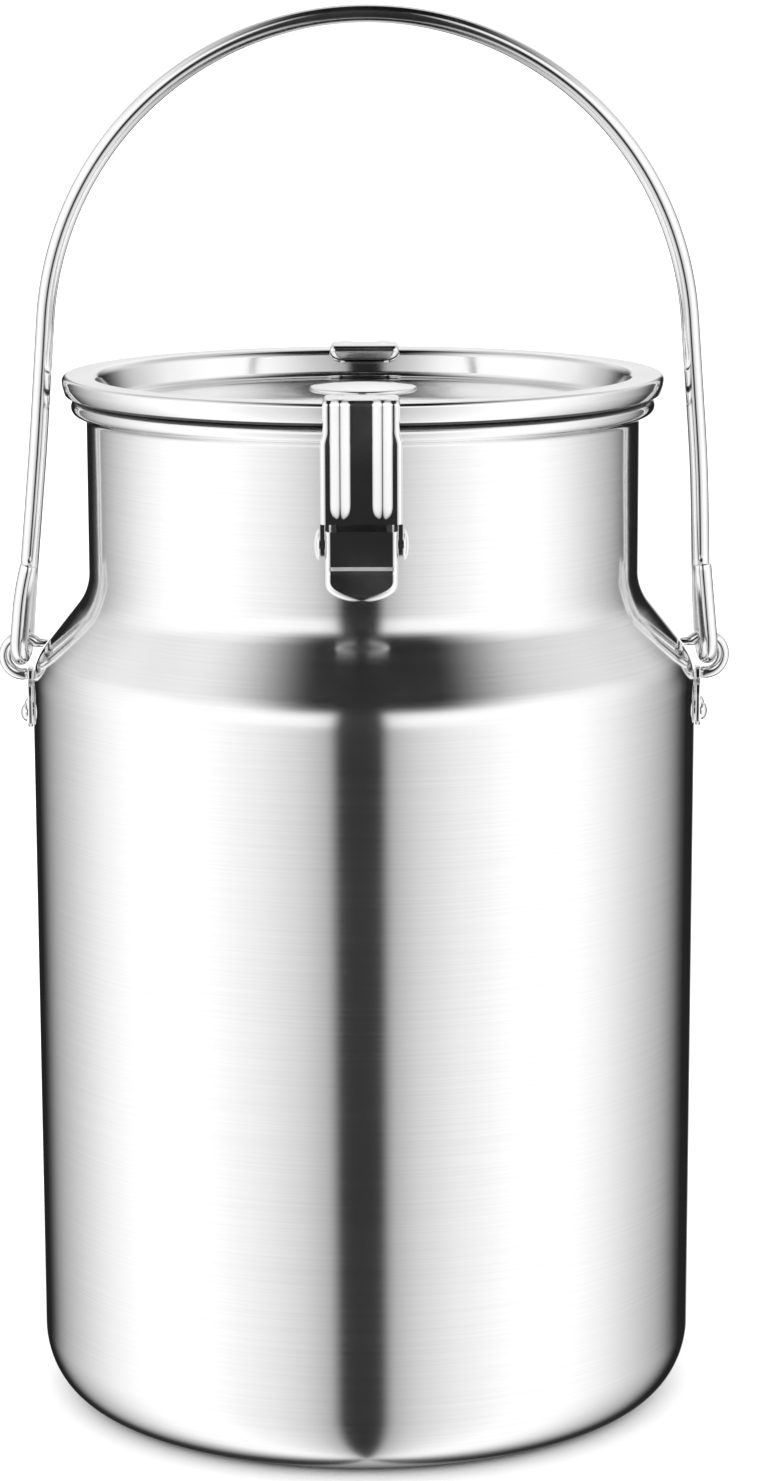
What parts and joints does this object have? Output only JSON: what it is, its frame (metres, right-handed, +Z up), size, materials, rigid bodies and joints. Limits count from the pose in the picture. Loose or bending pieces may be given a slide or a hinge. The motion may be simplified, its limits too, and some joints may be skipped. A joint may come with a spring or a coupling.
{
  "type": "milk can",
  "caption": "Cylindrical steel milk can with a narrower neck, a recessed clamp-down lid held by toggle latches front and rear, and a swinging wire bail handle.",
  "frame": {"origin": "centre of the can on the plane it stands on", "axes": "+Z up the can's axis, -Y towards the front latch, +X towards the right ear"},
  "size_m": [0.2432, 0.22, 0.463],
  "materials": {
    "satin_steel": "satin, finely brushed around the can",
    "bright_steel": "bright polished",
    "grey_silicone": "matt"
  },
  "bodies": {
    "can": {"can_body": "satin_steel", "ear_plate_left": "bright_steel", "ear_plate_right": "bright_steel", "ear_loop_left": "bright_steel", "ear_loop_right": "bright_steel", "ear_rivet_left_front": "bright_steel", "ear_rivet_left_rear": "bright_steel", "ear_rivet_right_front": "bright_steel", "ear_rivet_right_rear": "bright_steel", "front_latch_bracket": "bright_steel", "front_lever_pin": "bright_steel", "rear_latch_bracket": "bright_steel", "rear_lever_pin": "bright_steel"},
    "closure": {"lid": "bright_steel", "lid_gasket": "grey_silicone", "lid_knob": "bright_steel", "knob_washer": "bright_steel", "knob_screw": "bright_steel"},
    "bail": {"bail_handle": "bright_steel"},
    "front_lever": {"front_latch_lever": "bright_steel"},
    "front_hook": {"front_latch_hook": "bright_steel", "front_hook_pin": "bright_steel"},
    "rear_lever": {"rear_latch_lever": "bright_steel"},
    "rear_hook": {"rear_latch_hook": "bright_steel", "rear_hook_pin": "bright_steel"}
  },
  "joints": [
    {"name": "bail_swing", "type": "hinge", "parent": "can", "child": "bail", "pos_m": [0, 0, 0.257], "axis": [1, 0, 0], "range_deg": [-108, 108]},
    {"name": "lid_turn", "type": "hinge", "parent": "can", "child": "closure", "pos_m": [0, 0, 0.34], "axis": [0, 0, 1], "continuous": true},
    {"name": "front_lever_swing", "type": "hinge", "parent": "can", "child": "front_lever", "pos_m": [0, -0.097, 0.31], "axis": [-1, 0, 0], "range_deg": [0, 90]},
    {"name": "front_hook_swing", "type": "hinge", "parent": "front_lever", "child": "front_hook", "pos_m": [0, -0.0974, 0.301], "axis": [-1, 0, 0], "range_deg": [-75, 0]},
    {"name": "rear_lever_swing", "type": "hinge", "parent": "can", "child": "rear_lever", "pos_m": [0, 0.097, 0.31], "axis": [1, 0, 0], "range_deg": [0, 90]},
    {"name": "rear_hook_swing", "type": "hinge", "parent": "rear_lever", "child": "rear_hook", "pos_m": [0, 0.0974, 0.301], "axis": [1, 0, 0], "range_deg": [-75, 0]}
  ],
  "couplings": [
    {"joint": "front_hook_swing", "follows": "front_lever_swing", "ratio": -0.83},
    {"joint": "rear_hook_swing", "follows": "rear_lever_swing", "ratio": -0.83}
  ]
}
